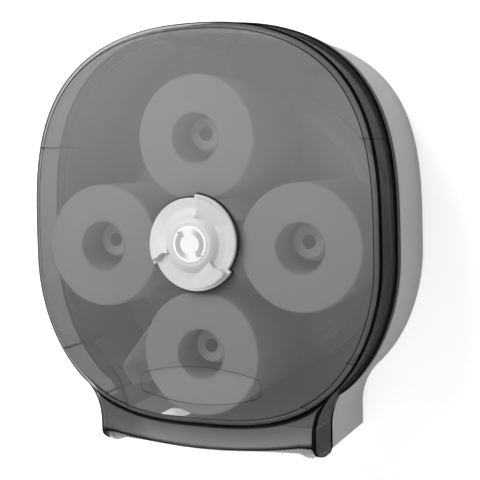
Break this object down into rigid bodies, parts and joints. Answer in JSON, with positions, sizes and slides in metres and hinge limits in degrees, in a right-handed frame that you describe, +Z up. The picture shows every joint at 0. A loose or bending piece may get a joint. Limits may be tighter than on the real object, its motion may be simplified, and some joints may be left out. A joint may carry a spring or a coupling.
{
  "type": "four-roll carousel toilet paper dispenser",
  "caption": "Wall-mounted toilet paper dispenser with a see-through hinged cover and a knob that turns a carousel of standard rolls down to the paper outlet.",
  "frame": {"origin": "the carousel's axis, at the back face that lies against the wall", "axes": "+X to the right seen from the front, +Y into the wall, +Z up, in metres"},
  "size_m": [0.3292, 0.1561, 0.373],
  "materials": {
    "housing_grey": "fine satin",
    "carousel_grey": "satin",
    "smoke": "see-through smoke grey, polished",
    "paper": "soft, embossed",
    "cardboard": "plain",
    "steel": "zinc plated",
    "chrome": "polished",
    "nylon": "smooth",
    "knob_white": "satin gloss",
    "button_white": "gloss",
    "black": "satin"
  },
  "bodies": {
    "housing": {"rear_housing": "housing_grey", "axle": "steel", "axle_nut": "steel", "thrust_washer": "nylon", "brake_washer": "steel", "hinge_pin_left": "steel", "hinge_pin_right": "steel"},
    "carousel": {"carousel_wheel": "carousel_grey", "drive_tube": "carousel_grey", "tube_screws": "steel", "post_screws": "steel", "paper_tail": "paper", "roll_post_top": "carousel_grey", "roll_post_right": "carousel_grey", "roll_post_bottom": "carousel_grey", "roll_post_left": "carousel_grey"},
    "roll_top": {"paper_roll_top": "paper", "roll_core_top": "cardboard"},
    "roll_right": {"paper_roll_right": "paper", "roll_core_right": "cardboard"},
    "roll_bottom": {"paper_roll_bottom": "paper", "roll_core_bottom": "cardboard"},
    "roll_left": {"paper_roll_left": "paper", "roll_core_left": "cardboard"},
    "cover": {"front_cover": "smoke", "lock_box": "smoke", "knob_washer": "nylon"},
    "lock": {"lock_barrel": "chrome", "lock_cam": "steel", "cam_screw": "steel"},
    "knob": {"knob": "knob_white", "knob_backing": "black", "knob_button": "button_white", "knob_screw": "steel", "drive_coupler": "carousel_grey"}
  },
  "joints": [
    {"name": "carousel_spin", "type": "hinge", "parent": "housing", "child": "carousel", "pos_m": [0, -0.024, 0], "axis": [0, 1, 0], "continuous": true},
    {"name": "cover_hinge", "type": "hinge", "parent": "housing", "child": "cover", "pos_m": [0, -0.115, -0.175], "axis": [1, 0, 0], "range_deg": [0, 95]},
    {"name": "knob_spin", "type": "hinge", "parent": "cover", "child": "knob", "pos_m": [0, -0.144, 0], "axis": [0, 1, 0], "continuous": true},
    {"name": "lock_turn", "type": "hinge", "parent": "cover", "child": "lock", "pos_m": [0, -0.11097, 0.178], "axis": [0, 0, 1], "range_deg": [0, 90]},
    {"name": "roll_top_spin", "type": "hinge", "parent": "carousel", "child": "roll_top", "pos_m": [0, -0.083, 0.08889], "axis": [0, 1, 0], "continuous": true},
    {"name": "roll_right_spin", "type": "hinge", "parent": "carousel", "child": "roll_right", "pos_m": [0.09249, -0.083, -0.0036], "axis": [0, 1, 0], "continuous": true},
    {"name": "roll_bottom_spin", "type": "hinge", "parent": "carousel", "child": "roll_bottom", "pos_m": [0, -0.083, -0.09609], "axis": [0, 1, 0], "continuous": true},
    {"name": "roll_left_spin", "type": "hinge", "parent": "carousel", "child": "roll_left", "pos_m": [-0.09249, -0.083, -0.0036], "axis": [0, 1, 0], "continuous": true}
  ],
  "couplings": [
    {"joint": "knob_spin", "follows": "carousel_spin", "ratio": 1}
  ]
}
